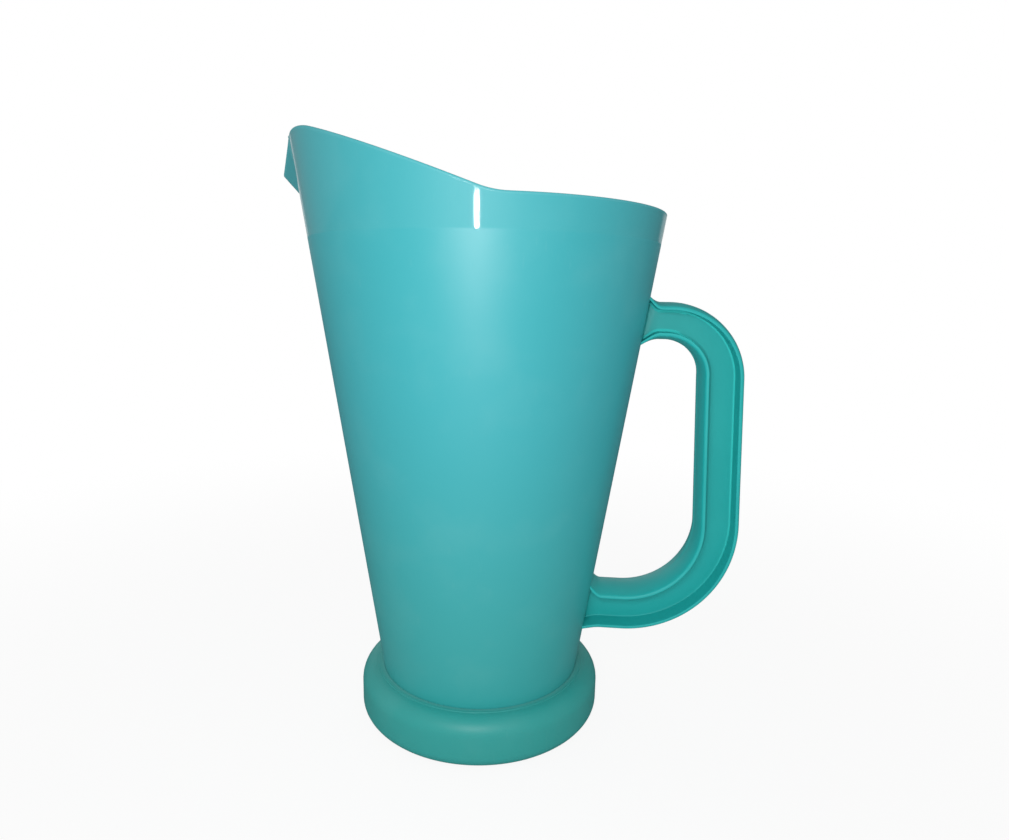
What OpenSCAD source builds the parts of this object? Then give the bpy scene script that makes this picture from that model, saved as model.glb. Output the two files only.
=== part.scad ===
// Beer pitcher: a tapered vessel with a swept rim and a pouring beak, an I-beam handle and a foot ring.
// The handle points along +X, the beak along -X, and the foot stands on the plane Z = 0.

/* [Vessel] */
// Outside diameter at the low side of the rim
rim_d = 140; // [125:1:160]
// Height of the low side of the rim above the table
rim_h = 207.5; // [190:0.5:240]
// Outside diameter where the wall leaves the foot ring
neck_d = 84; // [76:0.2:88]
// Wall thickness, square to the surface
wall = 2.4; // [1.8:0.1:3]
// Thickness of the floor
floor_t = 3; // [2:0.1:5]
// Height of the skirt under the floor
skirt_h = 5; // [3:0.5:10]
// Radius between the floor and the inside wall
floor_fillet = 6; // [2:0.5:12]

/* [Rim] */
// How far on the handle side of the axis the rim starts to climb
sweep_start = 10.4; // [4:0.2:20]
// Angle of the climbing rim above the level
sweep_angle = 19.2; // [14:0.2:22]
// Radius where the level rim turns into the climb
sweep_blend = 30; // [10:1:50]
// Radius of the crest at the front of the rim
crest_r = 18; // [12:1:26]
// Angle at which the lip falls from the crest to the tip of the beak
lip_angle = 39; // [32:1:46]

/* [Beak] */
// How far the tip stands out past the radius of the low rim
tip_out = 12; // [10:0.5:15]
// Height of the tip above the low side of the rim
tip_rise = 14.5; // [12:0.5:18]
// Angle of the keel above the level
keel_angle = 47; // [42:1:52]
// Angle of each cheek from the middle of the gutter
cheek_angle = 57; // [50:1:62]
// Outside radius of the nose where the cheeks meet
nose_r = 5; // [4:0.5:7]

/* [Handle] */
// Width of the two flanges
handle_w = 20; // [16:0.5:24]
// Depth of the section at the upper limb, over the crowns of both flanges
handle_t = 14.6; // [13:0.2:17]
// Depth of the section at the grip and the lower limb
grip_t = 17.6; // [15:0.2:20]
// Thickness of each flange at its edges
flange_t = 1.3; // [1:0.1:2]
// How far the outside of each flange is crowned
flange_crown = 1.7; // [1:0.1:2.4]
// Thickness of the web between the flanges
web_t = 2.4; // [2:0.1:3]
// Radius between the web and a flange
web_fillet = 0.8; // [0.5:0.1:1.4]
// From the low side of the rim down to the middle of the upper limb
upper_drop = 39.6; // [34:0.2:50]
// From the top of the foot ring up to the middle of the lower limb
lower_rise = 27.8; // [22:0.2:40]
// From the wall to the middle of the grip, at the upper limb
grip_out = 30.7; // [28:0.1:38]
// How much farther out the grip stands at its lower end
grip_lean = 2.5; // [0:0.1:4]
// Bend radius of the section's middle at the upper corner
upper_bend = 22.2; // [18:0.2:27]
// Bend radius of the section's middle at the lower corner
lower_bend = 37.4; // [28:0.2:44]
// Radius at which each flange curls onto the wall
flare_r = 4; // [2:0.5:5]

/* [Handle seats] */
// Length of the two tongues on the wall
tongue_l = 4; // [2.5:0.5:5]
// Thickness of a tongue
tongue_t = 2.2; // [1.6:0.1:2.6]
// Space between a tongue's edges and the flanges
tongue_margin = 1.2; // [1:0.1:2]
// Wall on each side of the slot that takes a tongue
slot_wall = 1.6; // [1.2:0.1:2.5]
// Length over which the web thickens towards its root
gusset_l = 9; // [7:0.5:12]

/* [Foot ring] */
// Outside diameter of the ring
foot_d = 102.2; // [98:0.2:110]
// Height of the ring, up to its seam with the wall
foot_h = 20; // [18:0.5:26]
// Radius of the ring's upper shoulder
shoulder_r = 9; // [6:0.5:10]
// Radius of the ring's heel at the table
heel_r = 5; // [4:0.5:7]
// Thickness of the ring's skin and of the ledge that carries the skirt
skin = 2.6; // [2:0.1:3.2]
// Diameter of the opening in the ledge
ledge_d = 66; // [56:1:68]
// Height of the collar that centres the skirt
collar_h = 4; // [2.5:0.5:6]
// Thickness of that collar
collar_t = 1.8; // [1.4:0.1:2.2]
// Radius of the bead that the ring snaps over
bead_r = 0.7; // [0.5:0.1:0.9]
// Bevel on the ring's edge at the seam
seam_bevel = 0.6; // [0.3:0.1:1]

/* [Clearances] */
// Between the wall and what fits round it or stands on it
fit_gap = 0.1; // [0.05:0.05:0.3]
// Between a tongue and its slot, all round
slot_gap = 0.15; // [0.1:0.05:0.3]

/* [Hidden] */
$fn = 96;
plastic = [0.31, 0.72, 0.75];

// Slope of the wall, and its horizontal thickness
taper = (rim_d - neck_d) / 2 / (rim_h - foot_h);
taper_angle = atan(taper);
wall_x = wall / cos(taper_angle);
function wall_r(z) = neck_d / 2 + (z - foot_h) * taper;
function inner_r(z) = wall_r(z) - wall_x;

// Points along an arc, about arc_step degrees apart
arc_step = 4;
function arc(mid, r, from, to) =
    let (steps = ceil(abs(to - from) / arc_step))
    [for (i = [0 : steps]) let (a = from + (to - from) * i / steps) mid + r * [cos(a), sin(a)]];

// Heights inside the base: the skirt stands on the ledge, and the floor lies above it
seat_z = skin;
floor_z = seat_z + skirt_h + floor_t;
bead_z = foot_h - skin - bead_r - 2 * fit_gap;

// Side view of the rim: the corner where it starts to climb, and the corner over the beak
tip_x = rim_d / 2 + tip_out;
tip_z = rim_h + tip_rise;
climb = tan(sweep_angle);
fall = tan(lip_angle);
crown_x = (tip_z - rim_h + tip_x * fall - sweep_start * climb) / (climb + fall);
crown_z = rim_h + (crown_x + sweep_start) * climb;
crest_run = crest_r * tan((sweep_angle + lip_angle) / 2);
sweep_dir = [cos(sweep_angle), sin(sweep_angle)];
climb_corner = [-sweep_start, rim_h];
crown = [crown_x, crown_z];
blend_mid = climb_corner + [-sweep_blend * tan(sweep_angle / 2), sweep_blend];
crest_mid = crown - crest_run * sweep_dir + crest_r * [sweep_dir.y, -sweep_dir.x];

// Room that a cut takes beyond what it cuts, large and small, and the run of a cheek past the wall
past = 10;
spill = 1;
cheek_run = 45;
keel_run = tip_out / cos(keel_angle) + past;

// Middle of the handle's section: limb heights, bend centres and the tilt of the grip
upper_z = rim_h - upper_drop;
lower_z = foot_h + lower_rise;
upper_mid = [wall_r(upper_z) + grip_out - upper_bend, upper_z - upper_bend];
lower_mid = [wall_r(upper_z) + grip_out + grip_lean - lower_bend, lower_z + lower_bend];
grip_step = upper_mid - lower_mid;
bend_change = lower_bend - upper_bend;
grip_tilt = atan2(grip_step.y, grip_step.x) - acos(bend_change / norm(grip_step));
upper_l = upper_mid.x - wall_r(upper_z);
lower_l = lower_mid.x - wall_r(lower_z);
tongue_h = handle_t - 2 * (flange_t + flange_crown + tongue_margin);
gusset_t = tongue_t + 2 * slot_gap + 2 * slot_wall;

// The loft of the handle: degrees between its sections round a bend and up the curl at a root, the count of
// sections up a curl, steps round each edge of a section, steps over a crown, the turn of an edge before the
// crown begins, and how far inside the vessel the loft closes
bend_step = 6;
curl_step = 16;
curl_count = 5;
curl_turns = [for (i = [curl_count : -1 : 0]) i * curl_step];
edge_steps = 4;
crown_steps = 8;
edge_turn = 70;
close_in = 30;
close_turn = 20;

// The foot ring's outside radius
foot_r = foot_d / 2;

// Revolved outlines of the vessel: its outside, its inside and the hollow under the floor
module outside_profile(top, grow = 0) {
    polygon([[0, seat_z], [wall_r(seat_z) + grow, seat_z], [wall_r(top) + grow, top], [0, top]]);
}

module inside_profile(top) {
    turn_z = floor_z + floor_fillet;
    turn_x = inner_r(turn_z) - floor_fillet / cos(taper_angle);
    foot_of_wall = [turn_x, turn_z] + floor_fillet * [cos(taper_angle), -sin(taper_angle)];
    polygon([[0, floor_z], [turn_x, floor_z], foot_of_wall, [inner_r(top), top], [0, top]]);
    translate([turn_x, turn_z]) circle(floor_fillet);
}

module skirt_profile() {
    low = seat_z - past;
    high = floor_z - floor_t;
    polygon([[0, low], [inner_r(low), low], [inner_r(high), high], [0, high]]);
}

// Side view of everything under the rim, with the beak's side to the right
module under_rim() {
    behind = -rim_d / 2 - past;
    ahead = tip_x + past;
    polygon(concat(
        [[ahead, 0], [behind, 0], [behind, rim_h]],
        arc(blend_mid, sweep_blend, 270, 270 + sweep_angle),
        arc(crest_mid, crest_r, 90 + sweep_angle, 90 - lip_angle),
        [[ahead, tip_z - past * fall]]
    ));
}

// Cross-section of the beak, square to its keel, out to radius r about the middle of the nose
module gutter_section(r) {
    nose = arc([0, nose_r], r, 180 + cheek_angle, 360 - cheek_angle);
    rise = cheek_run * cos(cheek_angle);
    spread = cheek_run * sin(cheek_angle);
    polygon(concat(nose, [nose[len(nose) - 1] + [spread, rise], nose[0] + [-spread, rise]]));
}

// A gutter along the keel, from inside the vessel out past the tip
module gutter(r) {
    rotate([0, 0, 180])
        translate([tip_x, 0, tip_z])
            rotate([0, 90 - keel_angle, 0])
                translate([0, 0, -keel_run])
                    linear_extrude(keel_run + past)
                        rotate(90) gutter_section(r);
}

// Tongue on the wall that a handle root slides over, enlarged by gap to make its slot
module tongue(z, gap = 0) {
    from_x = gap > 0 ? wall_r(z) - past : wall_r(z) - wall / 2;
    to_x = wall_r(z) + tongue_l + gap;
    translate([from_x, -tongue_t / 2 - gap, z - tongue_h / 2 - gap])
        cube([to_x - from_x, tongue_t + 2 * gap, tongue_h + 2 * gap]);
}

module body() {
    top = crown_z + past;
    color(plastic) {
        intersection() {
            difference() {
                union() {
                    rotate_extrude() outside_profile(top);
                    gutter(nose_r);
                }
                rotate_extrude() inside_profile(top + past);
                rotate_extrude() skirt_profile();
                gutter(nose_r - wall);
            }
            rotate([90, 0, 180])
                linear_extrude(rim_d + 2 * past, center = true) under_rim();
        }
        rotate_extrude() translate([wall_r(bead_z), bead_z]) circle(bead_r);
        tongue(upper_z);
        tongue(lower_z);
    }
}

// Outline of the I-beam section, across by depth, from its half depth, the half thickness of its web and the
// crown of its flanges
function section(half, half_web, bulge) =
    let (edge = flange_t / 2)
    let (tip = [handle_w / 2 - edge, half - bulge - edge])
    let (nook = [half_web + web_fillet, half - bulge - flange_t - web_fillet])
    let (outside = [for (u = crown_shares) [tip.x * u, half - bulge * u * u]])
    concat(
        steps_round(nook, web_fillet, 180, 90),
        steps_round(tip, edge, -90, edge_turn),
        outside,
        steps_round([-tip.x, tip.y], edge, 180 - edge_turn, 270),
        steps_round([-nook.x, nook.y], web_fillet, 90, 0),
        steps_round(-nook, web_fillet, 0, -90),
        steps_round(-tip, edge, 90, 180 + edge_turn),
        -outside,
        steps_round([tip.x, -tip.y], edge, -edge_turn, 90),
        steps_round([nook.x, -nook.y], web_fillet, 270, 180)
    );
crown_shares = [for (i = [1 : crown_steps - 1]) 1 - 2 * i / crown_steps];
function steps_round(mid, r, from, to) =
    [for (i = [0 : edge_steps]) let (a = from + (to - from) * i / edge_steps) mid + r * [cos(a), sin(a)]];

// A station of the loft: place, direction of the section's depth, half depth, half web, lean of its plane and
// crown. A flange that curls onto the wall loses its crown there.
function half_web(s) = (web_t + (gusset_t - web_t) * min(1, max(0, 1 - s / gusset_l))) / 2;
function root_station(z, turn, depth, s, rise, limb_l) =
    let (lean = taper * min(1, max(0, 1 - s / limb_l)))
    [wall_r(z) + s, z, turn, (depth + rise) / 2, half_web(s), lean, max(0, flange_crown - rise / 2)];
function curl_station(z, turn, depth, t, limb_l) =
    root_station(z, turn, depth, flare_r * (1 - sin(t)), flare_r * (1 - cos(t)), limb_l);
function bend_stations(mid, r, from, to, s, depth, depth_to) =
    let (steps = ceil(abs(to - from) / bend_step))
    [
        for (i = [0 : steps])
        let (turn = from + (to - from) * i / steps)
        let (way = s + r * PI / 180 * abs(90 - abs(turn)))
        let (half = (depth + (depth_to - depth) * i / steps) / 2)
        [mid.x + r * cos(turn), mid.y + r * sin(turn), turn, half, half_web(way), 0, flange_crown]
    ];
function hidden_station(z, turn, inward, up) =
    [wall_r(z) - inward, z + up, turn, handle_t / 2, gusset_t / 2, 0, flange_crown];

// The loft runs from the wall round the grip to the wall, and closes inside the vessel, where it is cut away
stations = concat(
    [hidden_station(upper_z, 90, past, 0)],
    [for (t = curl_turns) curl_station(upper_z, 90, handle_t, t, upper_l)],
    bend_stations(upper_mid, upper_bend, 90, grip_tilt, upper_l, handle_t, grip_t),
    bend_stations(lower_mid, lower_bend, grip_tilt, -90, lower_l, grip_t, grip_t),
    [for (i = [curl_count : -1 : 0]) curl_station(lower_z, -90, grip_t, curl_turns[i], lower_l)],
    [
        hidden_station(lower_z, -90, past, 0),
        hidden_station(lower_z, 180, close_in, close_turn),
        hidden_station(upper_z, 180, close_in, -close_turn)
    ]
);
function placed(st) =
    [
        for (p = section(st[3], st[4], st[6]))
        [st[0] + p.y * (cos(st[2]) + st[5] * sin(st[2])), p.x, st[1] + p.y * sin(st[2])]
    ];

module loft() {
    n = len(section(handle_t / 2, web_t / 2, flange_crown));
    rings = len(stations);
    points = [for (st = stations) each placed(st)];
    faces = [
        for (i = [0 : rings - 1], j = [0 : n - 1])
        let (a = i * n, b = (i + 1) % rings * n, k = (j + 1) % n)
        each [[a + j, a + k, b + k], [a + j, b + k, b + j]]
    ];
    polyhedron(points, faces, convexity = 8);
}

module handle() {
    color(plastic)
        difference() {
            loft();
            rotate_extrude() outside_profile(rim_h, fit_gap);
            tongue(upper_z, slot_gap);
            tongue(lower_z, slot_gap);
        }
}

// Solid outline of the foot ring, set in from its outside by inset
module ring_outline(inset) {
    heel_x = foot_r - heel_r;
    shoulder_x = foot_r - shoulder_r;
    shoulder_z = foot_h - shoulder_r;
    polygon([
        [0, inset], [heel_x, inset], [foot_r - inset, heel_r], [foot_r - inset, shoulder_z],
        [shoulder_x, foot_h - inset], [0, foot_h - inset]
    ]);
    translate([heel_x, heel_r]) circle(heel_r - inset);
    translate([shoulder_x, shoulder_z]) circle(shoulder_r - inset);
}

// What the wall and its bead take up in the ring above the ledge, with the bevelled edge at the seam
module wall_bore() {
    edge = foot_h - seam_bevel;
    high = foot_h + spill;
    polygon([
        [0, seat_z], [wall_r(seat_z) + fit_gap, seat_z], [wall_r(edge) + fit_gap, edge],
        [wall_r(edge) + fit_gap + high - edge, high], [0, high]
    ]);
    translate([wall_r(bead_z), bead_z]) circle(bead_r + fit_gap);
}

module collar() {
    rim = seat_z + collar_h;
    bottom = wall_r(seat_z) + fit_gap;
    top = wall_r(rim) + fit_gap;
    polygon([
        [bottom, seat_z / 2], [bottom, seat_z], [top, rim], [top + collar_t, rim],
        [top + collar_t, seat_z / 2]
    ]);
}

module foot_ring() {
    color(plastic)
        union() {
            rotate_extrude()
                difference() {
                    ring_outline(0);
                    ring_outline(skin);
                    wall_bore();
                    translate([0, -past]) square([ledge_d / 2, 2 * past]);
                }
            rotate_extrude() collar();
        }
}

body();
handle();
foot_ring();
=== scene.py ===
# A beer pitcher in metres: the handle lies along +X, the beak along -X, and it stands on the plane Z = 0.
import math

import bmesh
import bpy
import numpy as np
from mathutils import Matrix, Vector


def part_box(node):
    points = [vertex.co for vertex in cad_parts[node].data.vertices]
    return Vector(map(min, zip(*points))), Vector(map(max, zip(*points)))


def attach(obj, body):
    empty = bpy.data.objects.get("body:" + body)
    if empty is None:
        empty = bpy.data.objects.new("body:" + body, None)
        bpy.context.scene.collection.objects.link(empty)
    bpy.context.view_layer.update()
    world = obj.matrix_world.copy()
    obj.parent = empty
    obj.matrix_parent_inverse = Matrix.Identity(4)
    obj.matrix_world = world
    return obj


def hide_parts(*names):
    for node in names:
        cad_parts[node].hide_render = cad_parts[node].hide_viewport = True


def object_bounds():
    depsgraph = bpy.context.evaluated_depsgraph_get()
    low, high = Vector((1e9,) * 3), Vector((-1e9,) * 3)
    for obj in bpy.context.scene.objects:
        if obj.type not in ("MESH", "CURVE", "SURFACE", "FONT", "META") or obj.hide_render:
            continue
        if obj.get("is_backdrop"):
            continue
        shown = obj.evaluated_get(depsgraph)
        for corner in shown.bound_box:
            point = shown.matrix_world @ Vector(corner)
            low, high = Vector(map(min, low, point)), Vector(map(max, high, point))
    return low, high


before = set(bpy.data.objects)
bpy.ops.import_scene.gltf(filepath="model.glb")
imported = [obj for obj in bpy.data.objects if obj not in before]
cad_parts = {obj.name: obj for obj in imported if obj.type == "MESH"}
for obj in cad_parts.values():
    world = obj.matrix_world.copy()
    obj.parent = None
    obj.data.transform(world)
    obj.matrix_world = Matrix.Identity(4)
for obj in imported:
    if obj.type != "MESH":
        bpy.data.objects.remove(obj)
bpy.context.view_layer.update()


# The vessel is one thin moulding of turquoise plastic: a cone with a floor, a rim that climbs to the front
# and a V-shaped beak there. The mould left it satin, with a polished band round the rim. The foot ring snaps
# over a bead near its lower edge, and the handle stands on its wall.
mm = 0.001
body_low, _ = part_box("body")
_, ring_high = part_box("foot_ring")
rim_r = 70 * mm
rim_z = 207.5 * mm
neck_r = 42 * mm
seam_z = ring_high.z
wall = 2.4 * mm
taper = (rim_r - neck_r) / (rim_z - seam_z)
wall_across = wall * math.hypot(1, taper)


def wall_r(z):
    """Outside radius of the cone at a height."""
    return neck_r + (z - seam_z) * taper


# Side view of the rim, over the distance u from the axis towards the beak
sweep_start = -10.4 * mm
sweep_angle = math.radians(19.4)
sweep_blend = 30 * mm
crest_angle = math.radians(4)
crest_cut = 2.25 * mm
broad_r = 42.8 * mm
tight_r = 6.3 * mm
lip_angle = math.radians(37.7)
tip_rise = 14.5 * mm
tip_u = -body_low.x
tip_z = rim_z + tip_rise
climb = math.tan(sweep_angle)
shelf = math.tan(crest_angle)
fall = math.tan(lip_angle)
crown_u = (tip_rise + tip_u * fall + sweep_start * climb) / (climb + fall)
crown_z = rim_z + (crown_u - sweep_start) * climb


def arc(radius, corner_u, corner_z, before, after):
    """A fillet at a corner of the rim, between two falls given as angles: its span and its height over u."""
    run = radius * math.tan((after - before) / 2)
    mid_u = corner_u - run * math.cos(before) - radius * math.sin(before)
    mid_z = corner_z + run * math.sin(before) - radius * math.cos(before)

    def over(u):
        return mid_z + np.sqrt(np.maximum(radius**2 - (u - mid_u) ** 2, 0))

    return mid_u + radius * math.sin(before), mid_u + radius * math.sin(after), over


# The climb ends in a broad round, and the lip begins at a tight one just past the top
broad_u = crown_u - crest_cut / (climb + shelf)
tight_u = crown_u + crest_cut / (fall - shelf)
broad = arc(broad_r, broad_u, rim_z + (broad_u - sweep_start) * climb, -sweep_angle, crest_angle)
tight = arc(tight_r, tight_u, tip_z + (tip_u - tight_u) * fall, crest_angle, lip_angle)
blend_u = sweep_start - sweep_blend * math.tan(sweep_angle / 2)
blend_end = blend_u + sweep_blend * math.sin(sweep_angle)


def rim_height(u):
    """Height of the rim: level, round into the climb, straight, over the crest and down the lip."""
    blend = rim_z + sweep_blend - np.sqrt(np.maximum(sweep_blend**2 - (u - blend_u) ** 2, 0))
    top = crown_z - crest_cut - (u - crown_u) * shelf
    ends = [blend_u, blend_end, broad[0], broad[1], tight[0], tight[1]]
    stretches = [rim_z, blend, rim_z + (u - sweep_start) * climb, broad[2](u), top, tight[2](u)]
    return np.select([u < end for end in ends], stretches, tip_z + (tip_u - u) * fall)


def root_of(falling, low, high):
    """Where a function that falls along its argument passes zero, found by halving."""
    steps = 48
    for _ in range(steps):
        middle = (low + high) / 2
        above = falling(middle) > 0
        low = np.where(above, middle, low)
        high = np.where(above, high, middle)
    return (low + high) / 2


# The beak is a V-shaped gutter along a keel that rises to the tip, with a round nose where its cheeks meet
keel_angle = math.radians(47)
cheek_angle = math.radians(57)
nose_r = 5 * mm
crease = 1.2 * mm
beak_side = math.radians(60)


def gutter_reach(angle, z, nose):
    """Distance from the axis to the gutter's skin, at a bearing from the beak and a height."""
    turn_v = nose * math.cos(cheek_angle)
    turn_h = nose_r - nose * math.sin(cheek_angle)
    farthest = 2 * tip_u

    def depth(reach):
        across = np.abs(reach * np.sin(angle))
        before_tip = (tip_u - reach * np.cos(angle)) * math.sin(keel_angle)
        over_keel = before_tip + (z - tip_z) * math.cos(keel_angle)
        round_h = nose_r - np.sqrt(np.maximum(nose**2 - across**2, 0))
        cheek_h = turn_h + (across - turn_v) / math.tan(cheek_angle)
        return over_keel - np.where(across < turn_v, round_h, cheek_h)

    zero = np.zeros(np.broadcast(angle, z).shape)
    reach = root_of(depth, zero, zero + farthest)
    return np.where(np.cos(angle) > math.cos(beak_side), reach, 0)


def alike(a, b):
    """1 where two reaches are the same, 0 where they differ by the fillet's width or more."""
    return np.maximum(crease - np.abs(a - b), 0) / crease


def either(a, b):
    """The larger of two reaches, with a fillet where they are alike."""
    return np.maximum(a, b) + alike(a, b) ** 2 * crease / 4


def outside(angle, z):
    """Reach of the vessel's outer skin, at a bearing from the beak and a height."""
    return either(wall_r(z), gutter_reach(angle, z, nose_r))


def inside(angle, z):
    """Reach of its inner skin."""
    return either(wall_r(z) - wall_across, gutter_reach(angle, z, nose_r - wall))


def rim_over(angle, skin):
    """Height at which a skin of the wall reaches the rim."""
    below_rim = 30 * mm
    above_rim = 60 * mm
    lowest = np.full(angle.shape, rim_z - below_rim)
    highest = np.full(angle.shape, rim_z + above_rim)
    return root_of(lambda z: rim_height(skin(angle, z) * np.cos(angle)) - z, lowest, highest)


# The mesh is a stack of rings from the middle of the underside, up the outside, over the rim and down the
# inside to the middle of the floor. Its columns stand closer together at the beak.
columns = 400
crowding = 0.72
disc_shares = (0.04, 0.5)
bead_rings = 11
wall_rings = 14
outer_beak_rings = 72
inner_beak_rings = 64
edge_rings = 6
fillet_rings = 9
turn = np.linspace(-math.pi, math.pi, columns, endpoint=False)
bearing = turn - crowding * np.sin(turn)
base_z = body_low.z
recess = 5 * mm
floor_t = 3 * mm
underside_z = base_z + recess
floor_z = underside_z + floor_t
floor_fillet = 6 * mm
bead_r = 0.7 * mm
bead_drop = 0.2 * mm
bead_z = seam_z - base_z - bead_r - bead_drop
beak_start = 180 * mm
rim_edge = 0.7 * mm
crease_highlight = 0.8
rim_wear = 0.34
sharp_fold = math.radians(50)
top_out = rim_over(bearing, outside)
top_in = rim_over(bearing, inside)
rings = []


def ring(radius, z, within=0.0, edge=0.0):
    """One more ring of the vessel, with how far it is inside and how pale its edge is drawn, by wear or by a
    painted highlight.
    """
    values = (radius, z, within, edge)
    rings.append([np.broadcast_to(np.asarray(value, float), bearing.shape) for value in values])


for share in (*disc_shares, 1):
    ring(share * (wall_r(underside_z) - wall_across), underside_z)
ring(wall_r(base_z) - wall_across, base_z)
ring(wall_r(base_z), base_z)
for swing in np.radians(np.linspace(-90, 90, bead_rings)):
    z = bead_z + bead_r * math.sin(swing)
    ring(wall_r(z) + bead_r * math.cos(swing), z)
for z in np.linspace(seam_z, beak_start, wall_rings):
    ring(wall_r(z), z)
# Along the fold between the beak's cheeks and the wall the edge is drawn pale as a painted highlight line; at
# the rim it is worn pale
for share in np.linspace(0, 1, outer_beak_rings)[1:]:
    z = beak_start + (top_out - rim_edge - beak_start) * share
    folded = alike(wall_r(z), gutter_reach(bearing, z, nose_r))
    ring(outside(bearing, z), z, edge=np.maximum(crease_highlight * folded, rim_wear * (share == 1)))
quarter = np.radians(np.linspace(0, 90, edge_rings))
for swing in quarter[1:]:
    z = top_out - rim_edge * (1 - math.sin(swing))
    ring(outside(bearing, z) - rim_edge * (1 - math.cos(swing)), z, edge=rim_wear)
for swing in quarter[::-1]:
    z = top_in - rim_edge * (1 - math.sin(swing))
    ring(inside(bearing, z) + rim_edge * (1 - math.cos(swing)), z, within=1, edge=rim_wear)
for share in np.linspace(1, 0, inner_beak_rings)[1:]:
    z = beak_start + (top_in - rim_edge - beak_start) * share
    ring(inside(bearing, z), z, within=1)
lean = math.atan(taper)
turn_z = floor_z + floor_fillet
turn_r = wall_r(turn_z) - wall_across - floor_fillet / math.cos(lean)
for z in np.linspace(beak_start, turn_z, wall_rings)[1:-1]:
    ring(wall_r(z) - wall_across, z, within=1)
for swing in np.linspace(-lean, -math.pi / 2, fillet_rings):
    ring(turn_r + floor_fillet * math.cos(swing), turn_z + floor_fillet * math.sin(swing), within=1)
for share in disc_shares[::-1]:
    ring(share * turn_r, floor_z, within=1)

radius, height, within, edge = np.array(rings).transpose(1, 0, 2)
points = np.stack([-radius * np.cos(bearing), radius * np.sin(bearing), height], -1).reshape(-1, 3)
last = len(points)
points = np.vstack([points, [[0, 0, underside_z], [0, 0, floor_z]]])
faces = []
for j in range(columns):
    k = (j + 1) % columns
    faces.append((last, j, k))
    for i in range(len(rings) - 1):
        low = i * columns
        high = low + columns
        faces.append((low + k, low + j, high + j, high + k))
    faces.append((last + 1, last - columns + k, last - columns + j))
mesh = bpy.data.meshes.new("vessel")
mesh.from_pydata(points.tolist(), [], faces)
for name, values, ends in (("within", within, (0, 1)), ("edge", edge, (0, 0))):
    layer = mesh.attributes.new(name, "FLOAT", "POINT")
    layer.data.foreach_set("value", np.append(values.ravel(), ends).astype(np.float32))
mesh.shade_smooth()
mesh.set_sharp_from_angle(angle=sharp_fold)
vessel = bpy.data.objects.new("vessel", mesh)
bpy.context.scene.collection.objects.link(vessel)


class Wire:
    """A node's socket that takes part in sums: an expression on wires adds its Math nodes to their tree."""

    def __init__(self, tree, socket=None):
        self.tree = tree
        self.socket = socket

    def node(self, kind, sockets=None, out=0, **settings):
        """A new node: settings are made first, then sockets are set or linked. One output comes back."""
        made = self.tree.nodes.new(kind)
        for name, value in settings.items():
            setattr(made, name, value)
        for name, value in (sockets or {}).items():
            if isinstance(value, Wire):
                self.tree.links.new(value.socket, made.inputs[name])
            else:
                made.inputs[name].default_value = value
        return Wire(self.tree, made.outputs[out])

    def math(self, operation, *values):
        """A Math node on some values."""
        return self.node("ShaderNodeMath", dict(enumerate(values)), operation=operation)

    def __add__(self, other):
        return self.math("ADD", self, other)

    def __sub__(self, other):
        return self.math("SUBTRACT", self, other)

    def __rsub__(self, other):
        return self.math("SUBTRACT", other, self)

    def __mul__(self, other):
        return self.math("MULTIPLY", self, other)

    def __truediv__(self, other):
        return self.math("DIVIDE", self, other)

    def __abs__(self):
        return self.math("ABSOLUTE", self)

    def __gt__(self, other):
        return self.math("GREATER_THAN", self, other)

    __radd__ = __add__
    __rmul__ = __mul__

    def step(self, low, high):
        """0 below low and 1 above high, with a smooth passage between them."""
        span = {"Value": self, "From Min": low, "From Max": high}
        return self.node("ShaderNodeMapRange", span, interpolation_type="SMOOTHSTEP")

    def clipped(self):
        """No less than 0 and no more than 1."""
        return self.node("ShaderNodeClamp", {"Value": self})

    def part(self, axis):
        """One of a vector's three numbers."""
        return self.node("ShaderNodeSeparateXYZ", {0: self}, out="XYZ".index(axis))


def srgb(red, green, blue):
    """A colour as it looks on screen, 0 to 255, as the shader's linear numbers."""
    def linear(value):
        value /= 255
        return value / 12.92 if value <= 0.04045 else ((value + 0.055) / 1.055) ** 2.4

    return (linear(red), linear(green), linear(blue), 1)


def moulded_plastic(name, colour, worn_or_highlit, satin, sheen):
    """A moulded plastic with a fine satin grain, faint clouds, hairline scuffs, specks and pale edges, some
    worn and some a painted highlight.
    Gives the material, its tree's first wire and the wires that a piece may still change."""
    plastic_ior = 1.49
    noise_mean = 0.5
    hairline = (0.70, 0.76)
    dot = (0.02, 0.07)
    paler = {"edge": 0.35, "scuff": 0.04, "speck": 0.10, "cloud": 0.25}
    rougher = {"edge": 0.4, "scuff": 0.05, "cloud": 0.12}
    raised = {"grain": 0.5, "scuff": -0.3, "speck": -0.8}
    material = bpy.data.materials.new(name)
    material.use_nodes = True
    tree = material.node_tree
    shader = tree.nodes["Principled BSDF"]
    shader.inputs["IOR"].default_value = plastic_ior
    shader.inputs["Specular IOR Level"].default_value = sheen
    start = Wire(tree)
    place = start.node("ShaderNodeTexCoord", out="Object")
    drawn_out = {"Vector": place, "Rotation": (0.5, 0.3, 0), "Scale": (900, 900, 35)}
    drawn = start.node("ShaderNodeMapping", drawn_out)
    streaks = start.node("ShaderNodeTexNoise", {"Vector": drawn, "Scale": 1, "Detail": 1})
    cells = start.node("ShaderNodeTexVoronoi", {"Vector": place, "Scale": 260})
    marks = {
        "edge": start.node("ShaderNodeAttribute", out="Fac", attribute_name="edge"),
        "scuff": streaks.step(*hairline),
        "speck": 1 - cells.step(*dot),
        "cloud": start.node("ShaderNodeTexNoise", {"Vector": place, "Scale": 45, "Detail": 3}) - noise_mean,
        "grain": start.node("ShaderNodeTexNoise", {"Vector": place, "Scale": 2600, "Detail": 2}),
    }

    def summed(weights):
        return sum(marks[mark] * weight for mark, weight in weights.items())

    mix = {0: summed(paler), 6: colour, 7: worn_or_highlit}
    parts = {
        "shader": shader,
        "place": place,
        "edge_mark": marks["edge"],
        "tint": start.node("ShaderNodeMix", mix, out=2, data_type="RGBA"),
        "rough": satin + summed(rougher),
        "height": summed(raised),
    }
    return material, start, parts


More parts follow.
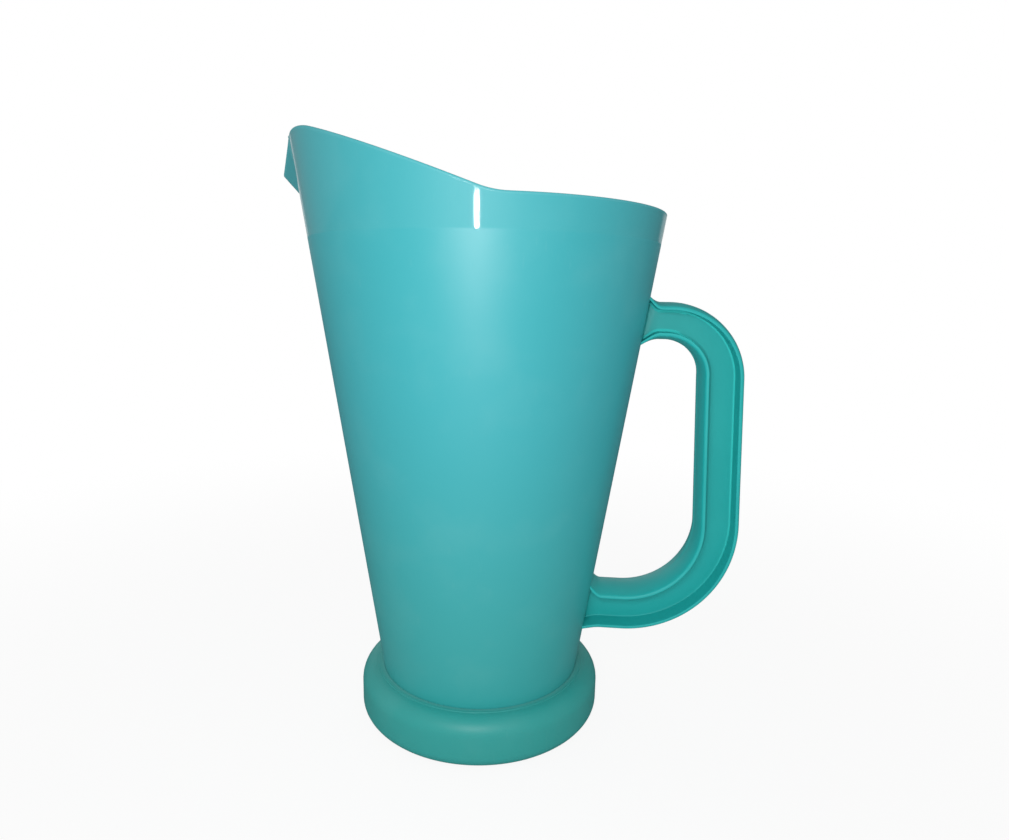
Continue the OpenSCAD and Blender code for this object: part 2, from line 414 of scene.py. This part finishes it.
def finish_plastic(start, parts):
    """Joins colour, roughness and grain to the shader."""
    grain_depth = 0.012 * mm
    shader = parts["shader"]
    bump = start.node("ShaderNodeBump", {"Height": parts["height"], "Distance": grain_depth, "Strength": 1.0})
    links = shader.id_data.links
    links.new(parts["tint"].socket, shader.inputs["Base Color"])
    links.new(parts["rough"].socket, shader.inputs["Roughness"])
    links.new(bump.socket, shader.inputs["Normal"])


vessel_teal = srgb(57, 175, 184)
vessel_worn_and_highlight = srgb(142, 206, 208)
painted_falloff_tint = (0.82, 0.97, 0.87, 1)
falloff_shade_from = 150 * mm
falloff_shade_full_at = 20 * mm
polish_z = 196.5 * mm
polish_fade = 0.25 * mm
polish_loss = 3
polish_evens = 0.8
inner_gloss = 0.12
band_satin = 0.14
band_coat = 0.55
vessel_plastic, start, parts = moulded_plastic(
    "vessel_plastic", vessel_teal, vessel_worn_and_highlight, satin=0.45, sheen=0.78
)
up = parts["place"].part("Z")
inner = start.node("ShaderNodeAttribute", out="Fac", attribute_name="within")
above_line = up.step(polish_z - polish_fade, polish_z + polish_fade)
polished = above_line * (1 - polish_loss * parts["edge_mark"]).clipped()
# Painted shade: the wall is drawn darker and greener towards the bottom, where the light falls off
lower = {0: 1 - up.step(falloff_shade_full_at, falloff_shade_from), 6: parts["tint"], 7: painted_falloff_tint}
parts["tint"] = start.node("ShaderNodeMix", lower, out=2, data_type="RGBA", blend_type="MULTIPLY")
parts["rough"] = parts["rough"] - inner * inner_gloss + polished * (1 - inner) * band_satin
parts["height"] = parts["height"] * (1 - polish_evens * polished)
shader = parts["shader"]
shader.inputs["Coat Roughness"].default_value = 0.06
shader.inputs["Coat IOR"].default_value = 1.45
vessel_plastic.node_tree.links.new((polished * band_coat).socket, shader.inputs["Coat Weight"])
finish_plastic(start, parts)
mesh.materials.append(vessel_plastic)
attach(vessel, "root")
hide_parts("body")


# The foot ring is a hollow moulded boot of the same plastic, a shade greener. Its fat round shoulder and heel
# show, with a low step round the seam. Its lip snaps over the vessel's bead, and the vessel stands on the
# ledge inside it.
def corner_mesh(name, *chains):
    """Corners in the XZ plane, each (x, z, bend radius), as chains: (corners, whether closed) for each."""
    corners = []
    edges = []
    chain_of = []
    for index, (chain, closed) in enumerate(chains):
        first = len(corners)
        corners += chain
        chain_of += [index] * len(chain)
        edges += [(i, i + 1) for i in range(first, len(corners) - 1)]
        if closed:
            edges.append((len(corners) - 1, first))
    made = bpy.data.meshes.new(name)
    made.from_pydata([(x, 0, z) for x, z, bend in corners], edges, [])
    for label, values in (("bend", [bend for x, z, bend in corners]), ("chain", chain_of)):
        layer = made.attributes.new(label, "FLOAT", "POINT")
        layer.data.foreach_set("value", values)
    return made


def recalled(wire, label, kind="FLOAT_VECTOR"):
    """What the points carry under a name."""
    return wire.node("GeometryNodeInputNamedAttribute", {"Name": label}, data_type=kind)


def noted(shape, label, value, kind="FLOAT_VECTOR"):
    """A shape whose points carry a value along under a name."""
    note = {"Geometry": shape, "Name": label, "Value": value}
    return shape.node("GeometryNodeStoreNamedAttribute", note, data_type=kind, domain="POINT")


def rounded(corners, steps):
    """Corners as a curve, with an arc of so many steps at each bend."""
    curve = corners.node("GeometryNodeMeshToCurve", {"Mesh": corners})
    bend = recalled(corners, "bend", "FLOAT")
    bends = {"Curve": curve, "Count": steps, "Radius": bend, "Limit Radius": True}
    return corners.node("GeometryNodeFilletCurve", bends, mode="POLY")


def moved(shape, x, y, z):
    """A shape with its points at new places."""
    spot = shape.node("ShaderNodeCombineXYZ", {"X": x, "Y": y, "Z": z})
    return shape.node("GeometryNodeSetPosition", {"Geometry": shape, "Position": spot})


def swept(name, corners, sizes, build, material):
    """A piece that Geometry Nodes make of a mesh of corners and some named sizes, as a plain closed mesh."""
    merged_within = 0.001 * mm
    sharp_corner = math.radians(40)
    tree = bpy.data.node_groups.new(name, "GeometryNodeTree")
    tree.interface.new_socket("Geometry", in_out="INPUT", socket_type="NodeSocketGeometry")
    tree.interface.new_socket("Geometry", in_out="OUTPUT", socket_type="NodeSocketGeometry")
    inputs = {}
    for label in sizes:
        inputs[label] = tree.interface.new_socket(label, in_out="INPUT", socket_type="NodeSocketFloat")
    entry = tree.nodes.new("NodeGroupInput")
    wires = {label: Wire(tree, entry.outputs[label]) for label in sizes}
    shape = build(Wire(tree, entry.outputs["Geometry"]), wires)
    shape = shape.node("GeometryNodeRealizeInstances", {"Geometry": shape})
    shape = shape.node("GeometryNodeSetMaterial", {"Geometry": shape, "Material": material})
    tree.links.new(shape.socket, tree.nodes.new("NodeGroupOutput").inputs["Geometry"])
    piece = bpy.data.objects.new(name, corners)
    bpy.context.scene.collection.objects.link(piece)
    modifier = piece.modifiers.new(name, "NODES")
    modifier.node_group = tree
    for label, value in sizes.items():
        modifier[inputs[label].identifier] = value
    made = bpy.data.meshes.new_from_object(piece.evaluated_get(bpy.context.evaluated_depsgraph_get()))
    piece.modifiers.remove(modifier)
    piece.data = made
    work = bmesh.new()
    work.from_mesh(made)
    bmesh.ops.remove_doubles(work, verts=work.verts, dist=merged_within)
    bmesh.ops.recalc_face_normals(work, faces=work.faces)
    work.to_mesh(made)
    work.free()
    made.shade_smooth()
    made.set_sharp_from_angle(angle=sharp_corner)
    return piece


ring_r = ring_high.x
ring_skin = 2.6 * mm
ledge_r = 33 * mm
shoulder = 8.2 * mm
heel = 5 * mm
step_w = 2.3 * mm
step_rise = 0.3 * mm
step_foot = 0.1 * mm
step_edge = 0.2 * mm
groove = 0.12 * mm
play = 0.02 * mm
collar_t = 1.8 * mm
collar_h = 4 * mm
collar_z = base_z + collar_h
soft = 0.35 * mm
step_r = wall_r(seam_z) + step_w
lip_z = seam_z - groove
lip_r = wall_r(lip_z) + play
under_lip = seam_z - ring_skin
collar_r = wall_r(collar_z) + play
ring_outline = [
    (ledge_r, 0, soft),
    (ring_r, 0, heel),
    (ring_r, seam_z - step_rise, shoulder),
    (step_r, seam_z - step_rise, step_foot),
    (step_r, seam_z, step_edge),
    (lip_r + groove, seam_z, soft),
    (lip_r, lip_z, soft),
    (wall_r(under_lip) + play, under_lip, soft),
    (ring_r - ring_skin, under_lip, shoulder - ring_skin),
    (ring_r - ring_skin, ring_skin, heel - ring_skin),
    (collar_r + collar_t, ring_skin, soft),
    (collar_r + collar_t, collar_z, soft),
    (collar_r, collar_z, soft),
    (wall_r(base_z) + play, base_z, 0),
    (ledge_r, ring_skin, soft),
]


def ring_sweep(corners, sizes):
    """The ring's outline, carried once round the axis."""
    bend_steps = 9
    here = corners.node("GeometryNodeInputPosition")
    outline = noted(rounded(corners, bend_steps), "section", here)
    circle = corners.node("GeometryNodeCurvePrimitiveCircle", {"Resolution": 240, "Radius": 1.0})
    tube = {"Curve": noted(circle, "way_round", here), "Profile Curve": outline}
    shape = corners.node("GeometryNodeCurveToMesh", tube)
    way_round = recalled(shape, "way_round")
    reach = recalled(shape, "section").part("X")
    height = recalled(shape, "section").part("Z")
    shape = moved(shape, way_round.part("X") * reach, way_round.part("Y") * reach, height)
    # The lip at the seam is drawn paler: a painted highlight along its crest
    lip = (1 - abs(reach - sizes["Neck radius"]) / sizes["Wear width"]).clipped()
    return noted(shape, "edge", lip * (height > sizes["Wear height"]), "FLOAT")


foot_teal = srgb(50, 164, 159)
foot_lip_highlight = srgb(128, 192, 188)
foot_plastic, start, parts = moulded_plastic("foot_plastic", foot_teal, foot_lip_highlight, satin=0.46, sheen=0.45)
finish_plastic(start, parts)
ring_sizes = {"Neck radius": neck_r, "Wear width": 2 * mm, "Wear height": under_lip}
ring_corners = corner_mesh("ring_corners", (ring_outline, True))
foot = swept("foot", ring_corners, ring_sizes, ring_sweep, foot_plastic)
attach(foot, "root")
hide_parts("foot_ring")


# The handle is a moulded I-beam, two crowned flanges on a thin web, bent from the wall round the grip and
# back to the wall. It deepens round its upper bend. At both roots the flanges curl onto the wall and lose
# their crown, and a tongue on the wall holds the web.
handle_low, handle_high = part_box("handle")
half_w = (handle_high.y - handle_low.y) / 2
limb_t = 14.6 * mm
grip_t = 17.6 * mm
flange_t = 1.3 * mm
flange_crown = 1.7 * mm
inner_edge = 0.35 * mm
outer_edge = 1.15 * mm
half_web = 1.2 * mm
web_fillet = 0.4 * mm
upper_drop = 39.6 * mm
lower_rise = 27.8 * mm
upper_z = rim_z - upper_drop
lower_z = seam_z + lower_rise
upper_bend = 22.2 * mm
lower_bend = 37.4 * mm
grip_lean = 2.5 * mm
grip_out = 30.65 * mm
upper_mid = Vector((wall_r(upper_z) + grip_out - upper_bend, upper_z - upper_bend))
lower_mid = Vector((wall_r(upper_z) + grip_out + grip_lean - lower_bend, lower_z + lower_bend))
apart = upper_mid - lower_mid
tilt = math.atan2(apart.y, apart.x) - math.acos((lower_bend - upper_bend) / apart.length)
grip_normal = Vector((math.cos(tilt), math.sin(tilt)))
grip_at = grip_normal.dot(upper_mid) + upper_bend


def grip_x(z):
    """Where the grip's middle line passes a height."""
    return (grip_at - grip_normal.y * z) / grip_normal.x


handle_path = [
    (wall_r(upper_z), upper_z, 0),
    (grip_x(upper_z), upper_z, upper_bend),
    (grip_x(lower_z), lower_z, lower_bend),
    (wall_r(lower_z), lower_z, 0),
]

# Half of the section: a flange with its crown, then the panel of the web, with a pair of points near each
# border that keep the painted highlight line there narrow
flange_z = limb_t / 2 - flange_crown
under = flange_z - flange_t
line_out = under - 0.9 * mm
line_in = under - 1.3 * mm
flange = [(half_web, under, web_fillet), (half_w, under, inner_edge), (half_w, flange_z, outer_edge)]
crown_shares = (0.75, 0.5, 0.25, 0, -0.25, -0.5, -0.75)
crown = [(half_w * share, limb_t / 2 - flange_crown * share**2, 0) for share in crown_shares]
panel_z = (line_out, line_in, under / 3, 0, -under / 3, -line_in, -line_out)
half_section = flange + crown + [(-x, z, bend) for x, z, bend in flange[::-1]]
half_section += [(-half_web, z, 0) for z in panel_z]
handle_section = half_section + [(-x, -z, bend) for x, z, bend in half_section]


def handle_sweep(corners, sizes):
    """The section, carried along the path: deeper past the upper bend and curled towards each root."""
    bend_steps = 40
    section_steps = 5
    here = corners.node("GeometryNodeInputPosition")

    # Of the two chains of corners the first is the path and the second the section
    pair = {"Geometry": corners, "Selection": recalled(corners, "chain", "FLOAT") > 0.5}
    section = corners.node("GeometryNodeSeparateGeometry", pair)
    section = noted(rounded(section, section_steps), "section", here)
    path = rounded(corners.node("GeometryNodeSeparateGeometry", pair, out="Inverted"), bend_steps)
    spaced = {"Curve": path, "Length": sizes["Ring spacing"]}
    path = noted(path.node("GeometryNodeResampleCurve", spaced, mode="LENGTH"), "middle", here)
    path = noted(path, "along", path.node("GeometryNodeInputTangent"))
    way = path.node("GeometryNodeSplineParameter", out="Length")
    path = noted(path, "way", way, "FLOAT")
    path = noted(path, "rest", path.node("GeometryNodeSplineLength") - way, "FLOAT")
    tube = {"Curve": path, "Profile Curve": section, "Fill Caps": True}
    shape = path.node("GeometryNodeCurveToMesh", tube)

    # Rings crowd together at the roots, where the curl turns fastest
    def crowded(distance):
        return distance * (distance / sizes["Crowding"]).clipped()

    way = recalled(shape, "way", "FLOAT")
    rest = recalled(shape, "rest", "FLOAT")
    shift = (crowded(way) - way) - (crowded(rest) - rest)
    root = crowded(way.math("MINIMUM", way, rest))

    # The flanges curl away from the middle line, less on top of the lower root, and their crown flattens
    across = recalled(shape, "section").part("X")
    deep = recalled(shape, "section").part("Z")
    outward = deep.math("SIGN", deep)
    left = sizes["Curl"] - root.math("MINIMUM", root, sizes["Curl"])
    rise = left * left / (left + sizes["Curl ease"]) * sizes["Curl slope"]
    rise = rise * (1 - sizes["Low side"] * ((deep > 0.0) * (way > rest)))
    crowned = ((deep * outward - sizes["Flange depth"]) / sizes["Crown"]).clipped()
    grown = ((way - sizes["Limb length"]) / sizes["Bend length"]).clipped()
    depth = deep + outward * (rise * (1 - sizes["Crown loss"] * crowned) + grown * sizes["Deepening"])

    # The web is bevelled at the corner below its upper root
    in_web = sizes["Web zone"] > abs(across)
    corner = 0.5 + deep / sizes["Panel width"] - crowded(way) / sizes["Bevel length"]
    spread = across - across.math("SIGN", across) * corner.clipped() * sizes["Bevel depth"] * in_web
    along = recalled(shape, "along")
    middle = recalled(shape, "middle")
    x = middle.part("X") + along.part("X") * shift - along.part("Z") * depth
    z = middle.part("Z") + along.part("Z") * shift + along.part("X") * depth

    # At its root the section takes the round of the wall
    def wall_at(height):
        return sizes["Neck radius"] + (height - sizes["Seam height"]) * sizes["Taper"]

    lying = wall_at(z) * wall_at(z) - spread * spread
    at_root = (1 - root / sizes["Root length"]).clipped()
    x = x + (lying.math("SQRT", lying) - wall_at(middle.part("Z"))) * at_root
    shape = moved(shape, x, spread, z)

    # The flanges' outer edges are worn pale, and the web's border carries a painted highlight, less and less
    # towards the end
    edge_mark = ((abs(across) - sizes["Wear start"]) / sizes["Wear width"]).clipped()
    border_w = sizes["Border"] - (sizes["Border"] - sizes["Grip border"]) * grown
    at_border = in_web * (deep * outward > sizes["Panel width"] / 2 - border_w)
    border = at_border * ((sizes["Border end"] - way) / sizes["Border fade"]).clipped()
    return noted(shape, "edge", edge_mark * sizes["Wear"] + border * sizes["Border wear"], "FLOAT")


handle_sizes = {
    "Ring spacing": 0.9 * mm,
    "Crowding": 8 * mm,
    "Curl": 5 * mm,
    "Curl ease": 2 * mm,
    "Curl slope": 1.05,
    "Low side": 0.65,
    "Flange depth": flange_z,
    "Crown": flange_crown,
    "Crown loss": 0.5,
    "Limb length": upper_mid.x - wall_r(upper_z),
    "Bend length": upper_bend * (math.pi / 2 - tilt),
    "Deepening": (grip_t - limb_t) / 2,
    "Panel width": 2 * under,
    "Bevel length": 4 * mm,
    "Bevel depth": 0.9 * mm,
    "Web zone": half_web + 0.7 * web_fillet,
    "Border": 1.0 * mm,
    "Grip border": 0.45 * mm,
    "Border end": 140 * mm,
    "Border fade": 45 * mm,
    "Border wear": 1.5,
    "Neck radius": neck_r,
    "Seam height": seam_z,
    "Taper": taper,
    "Root length": 6 * mm,
    "Wear start": half_w - 0.7 * mm,
    "Wear width": 0.6 * mm,
    "Wear": 0.1,
}
handle_teal = srgb(37, 184, 182)
handle_worn_and_highlight = srgb(80, 236, 230)
handle_plastic, start, parts = moulded_plastic(
    "handle_plastic", handle_teal, handle_worn_and_highlight, satin=0.44, sheen=0.35
)
finish_plastic(start, parts)
handle_corners = corner_mesh("handle_corners", (handle_path, False), (handle_section, True))
handle = swept("grip_handle", handle_corners, handle_sizes, handle_sweep, handle_plastic)
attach(handle, "root")
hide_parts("handle")


# The table is one plain pale sheet under the foot. It keeps the pitcher's faint shadow near it and fades to
# white further out, and it is much dimmer where the plastic mirrors it.
floor_half = 4.0
floor_gap = 0.1 * mm
floor_grey = 0.86
mirrored_grey = 0.09
near_white = 0.9
fade_from = 0.12
fade_to = 0.55
floor_mesh = bpy.data.meshes.new("floor")
square = ((-1, -1), (1, -1), (1, 1), (-1, 1))
floor_mesh.from_pydata([(x * floor_half, y * floor_half, -floor_gap) for x, y in square], [], [(0, 1, 2, 3)])
floor = bpy.data.objects.new("floor", floor_mesh)
bpy.context.scene.collection.objects.link(floor)
floor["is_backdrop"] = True
pale_floor = bpy.data.materials.new("pale_floor")
pale_floor.use_nodes = True
tree = pale_floor.node_tree
tree.nodes.clear()
start = Wire(tree)


def seen_directly(wire):
    """1 for what the camera or a clear surface shows, little for a reflection, 0 for light on the object."""
    shown = {"Is Camera Ray": 1.0, "Is Transmission Ray": 1.0, "Is Glossy Ray": 0.05}
    shares = [wire.node("ShaderNodeLightPath", out=name) * weight for name, weight in shown.items()]
    return sum(shares).clipped()


def grey_sheet(level):
    """A matt sheet of one grey."""
    return start.node("ShaderNodeBsdfDiffuse", {"Color": (level, level, level, 1)})


place = start.node("ShaderNodeTexCoord", out="Object")
away = start.node("ShaderNodeVectorMath", {0: place}, out="Value", operation="LENGTH")
glossy = start.node("ShaderNodeLightPath", out="Is Glossy Ray")
sheet = {0: glossy, 1: grey_sheet(floor_grey), 2: grey_sheet(mirrored_grey)}
white_share = (near_white + (1 - near_white) * away.step(fade_from, fade_to)) * seen_directly(start)
surface = {
    0: white_share,
    1: start.node("ShaderNodeMixShader", sheet),
    2: start.node("ShaderNodeEmission", {"Color": (1, 1, 1, 1), "Strength": 1.0}),
}
surface = start.node("ShaderNodeMixShader", surface)
tree.links.new(surface.socket, tree.nodes.new("ShaderNodeOutputMaterial").inputs["Surface"])
floor_mesh.materials.append(pale_floor)


# Plain soft light: a pale room that lights the pitcher more from behind and from the left, a small soft box
# over the lens, and a narrow strip beside it that draws the bright line on the polished band. Gloss shows
# a dimmer room, darkest at the right, with a low bright window behind and a small one to its right.
room_level = 0.495
behind_level = 0.26
mirror_level = 0.49
mirror_loss = 0.4
window_level = 0.6
behind_left = (-0.6, 0.8, 0)
window_left = (1, 0.75, 0)
window_right = (-1, 0.25, 0)
room = bpy.data.worlds.new("room")
room.use_nodes = True
bpy.context.scene.world = room
tree = room.node_tree
start = Wire(tree)
aim = start.node("ShaderNodeTexCoord", out="Generated")
side = aim.part("X")
ahead = aim.part("Y")
up = aim.part("Z")
diffuse = start.node("ShaderNodeLightPath", out="Is Diffuse Ray")
glossy = start.node("ShaderNodeLightPath", out="Is Glossy Ray")


def facing(direction):
    """How far a ray goes along a direction."""
    return start.node("ShaderNodeVectorMath", {0: aim, 1: direction}, out="Value", operation="DOT_PRODUCT")


behind = facing(behind_left).step(low=-0.3, high=0.8) * behind_level
dark = ahead.step(low=-0.2, high=0.6) * side.step(low=0.0, high=0.4) * mirror_loss
window = facing(window_left).step(low=-0.05, high=0.10) * facing(window_right).step(low=0.0, high=0.10)
window = window * (1 - up.step(low=0.20, high=0.40))
glint = side.step(low=0.12, high=0.22) * (1 - side.step(low=0.42, high=0.56)) * ahead.step(low=0.0, high=0.1)
glint = glint * up.step(low=0.0, high=0.03) * (1 - up.step(low=0.10, high=0.14))
level = room_level * (1 - (1 - mirror_level + dark) * glossy) + behind * diffuse
level = level + (1 - room_level) * seen_directly(start) + (window + glint) * glossy * window_level
backdrop = tree.nodes["Background"]
backdrop.inputs["Color"].default_value = (1, 1, 1, 1)
tree.links.new(level.socket, backdrop.inputs["Strength"])


def lamp(name, place, target, width, height, power, colour):
    """A rectangular lamp that shines from a place to a target and isn't seen itself."""
    light = bpy.data.lights.new(name, "AREA")
    light.shape = "RECTANGLE"
    light.size = width
    light.size_y = height
    light.energy = power
    light.color = colour
    held = bpy.data.objects.new(name, light)
    aimed = (Vector(target) - Vector(place)).to_track_quat("-Z", "Y").to_matrix().to_4x4()
    held.matrix_world = Matrix.Translation(place) @ aimed
    held.visible_camera = False
    bpy.context.scene.collection.objects.link(held)


lamp(
    "soft_box", place=(0.005, -0.275, 0.215), target=(0, 0, 0.13),
    width=0.10, height=0.06, power=0.235, colour=(1, 0.97, 0.965),
)
lamp(
    "strip", place=(0.012, -0.300, 0.157), target=(0, 0, 0.157),
    width=0.012, height=0.027, power=0.17, colour=(1, 1, 1),
)


# The camera stands close, just below the low rim and a little to the handle's side, and is tipped down, as
# the photograph was taken.
camera_at = (34.5 * mm, -280.9 * mm, 177.1 * mm)
pitch = math.radians(10.35)
heading = math.radians(5.22)
roll = math.radians(1.06)
lens_px = 689.7
picture_w = 1009
camera_data = bpy.data.cameras.new("camera")
camera_data.sensor_width = 36
camera_data.lens = lens_px * camera_data.sensor_width / picture_w
camera_data.clip_start = 10 * mm
camera = bpy.data.objects.new("camera", camera_data)
turned = Matrix.Rotation(heading, 4, "Z")
tipped = Matrix.Rotation(math.pi / 2 - pitch, 4, "X")
rolled = Matrix.Rotation(roll, 4, "Z")
camera.matrix_world = Matrix.Translation(camera_at) @ turned @ tipped @ rolled
bpy.context.scene.collection.objects.link(camera)
bpy.context.scene.camera = camera
bpy.context.scene.view_settings.view_transform = "Standard"

low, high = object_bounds()
